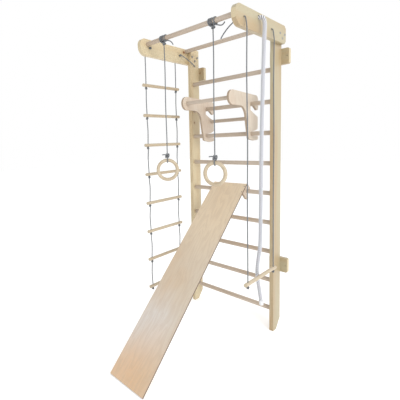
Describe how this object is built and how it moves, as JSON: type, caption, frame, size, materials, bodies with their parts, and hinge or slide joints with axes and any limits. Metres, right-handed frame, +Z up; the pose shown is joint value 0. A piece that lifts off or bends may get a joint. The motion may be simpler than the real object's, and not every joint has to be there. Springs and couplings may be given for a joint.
{
  "type": "toddler climbing gym with slide",
  "caption": "Wooden wall bars with arms, hook-on slide board and pull-up unit, gymnastic rings, rope ladder, trapeze and climbing rope.",
  "frame": {"origin": "on the floor, half-way across the frame and half-way between the wall and the foot of the slide", "axes": "+Z up, +Y towards the wall, +X to the right seen from the room"},
  "size_m": [0.95, 1.331, 2.33],
  "materials": {
    "pine": "satin lacquered pine",
    "beech": "satin lacquered dowel",
    "plywood": "satin lacquered birch plywood",
    "grey_cord": "matt braided cord",
    "white_rope": "matt laid rope",
    "steel": "dark zinc-plated"
  },
  "bodies": {
    "frame": {"post_left": "pine", "post_right": "pine", "wall_rung_1": "beech", "wall_rung_2": "beech", "wall_rung_3": "beech", "wall_rung_4": "beech", "wall_rung_5": "beech", "wall_rung_6": "beech", "wall_rung_7": "beech", "wall_rung_8": "beech", "wall_rung_9": "beech", "arm_left": "pine", "arm_right": "pine", "front_bar": "beech", "rear_bar": "beech", "wall_block_upper_left": "pine", "wall_block_upper_right": "pine", "wall_block_lower_left": "pine", "wall_block_lower_right": "pine", "arm_bolts": "steel", "arm_nuts": "steel", "block_screws": "steel", "cord_stopper_knots": "grey_cord", "climbing_rope_knot": "white_rope", "cord_tail_left": "grey_cord", "cord_tail_right": "grey_cord"},
    "ring_left_cord": {"ring_cord_left": "grey_cord", "bar_knot_left": "grey_cord"},
    "ring_left_body": {"ring_left": "beech", "ring_knot_left": "grey_cord"},
    "ring_right_cord": {"ring_cord_right": "grey_cord", "bar_knot_right": "grey_cord"},
    "ring_right_body": {"ring_right": "beech", "ring_knot_right": "grey_cord"},
    "ladder": {"ladder_rope_front": "grey_cord", "ladder_rope_rear": "grey_cord", "ladder_knots": "grey_cord", "ladder_rung_1": "beech", "ladder_rung_2": "beech", "ladder_rung_3": "beech", "ladder_rung_4": "beech", "ladder_rung_5": "beech", "ladder_rung_6": "beech", "ladder_rung_7": "beech", "ladder_rung_8": "beech"},
    "trapeze": {"trapeze_stick": "beech", "trapeze_rope_front": "grey_cord", "trapeze_rope_rear": "grey_cord", "trapeze_knots": "grey_cord"},
    "rope": {"climbing_rope": "white_rope", "climbing_rope_end": "white_rope"},
    "pullup_unit": {"pullup_bracket_left": "plywood", "pullup_bracket_right": "plywood", "pullup_bar": "beech", "pullup_grip_bar": "beech"},
    "slide": {"slide_board": "plywood", "slide_hook_left": "plywood", "slide_hook_right": "plywood", "slide_batten": "plywood", "slide_screws": "steel"}
  },
  "joints": [
    {"name": "slide_lift", "type": "hinge", "parent": "frame", "child": "slide", "pos_m": [0, 0.5565, 1.096], "axis": [-1, 0, 0], "range_deg": [0, 40]},
    {"name": "pullup_tilt", "type": "hinge", "parent": "frame", "child": "pullup_unit", "pos_m": [0, 0.5565, 1.792], "axis": [-1, 0, 0], "range_deg": [0, 25]},
    {"name": "ring_left_swing", "type": "hinge", "parent": "frame", "child": "ring_left_cord", "pos_m": [-0.22, 0.0205, 2.29], "axis": [1, 0, 0], "range_deg": [-30, 20]},
    {"name": "ring_left_twist", "type": "hinge", "parent": "ring_left_cord", "child": "ring_left_body", "pos_m": [-0.22, 0.0205, 1.433], "axis": [0, 0, 1], "range_deg": [-90, 90]},
    {"name": "ring_right_swing", "type": "hinge", "parent": "frame", "child": "ring_right_cord", "pos_m": [0.22, 0.0205, 2.29], "axis": [1, 0, 0], "range_deg": [-30, 20]},
    {"name": "ring_right_twist", "type": "hinge", "parent": "ring_right_cord", "child": "ring_right_body", "pos_m": [0.22, 0.0205, 1.421], "axis": [0, 0, 1], "range_deg": [-90, 90]},
    {"name": "ladder_swing", "type": "hinge", "parent": "frame", "child": "ladder", "pos_m": [-0.432, 0.223, 2.264], "axis": [0, 1, 0], "range_deg": [-5, 35]},
    {"name": "trapeze_swing", "type": "hinge", "parent": "frame", "child": "trapeze", "pos_m": [0.432, 0.223, 2.264], "axis": [0, -1, 0], "range_deg": [0, 35]},
    {"name": "rope_swing", "type": "hinge", "parent": "frame", "child": "rope", "pos_m": [0.432, 0.2305, 2.3], "axis": [1, 0, 0], "range_deg": [-5, 5]}
  ]
}
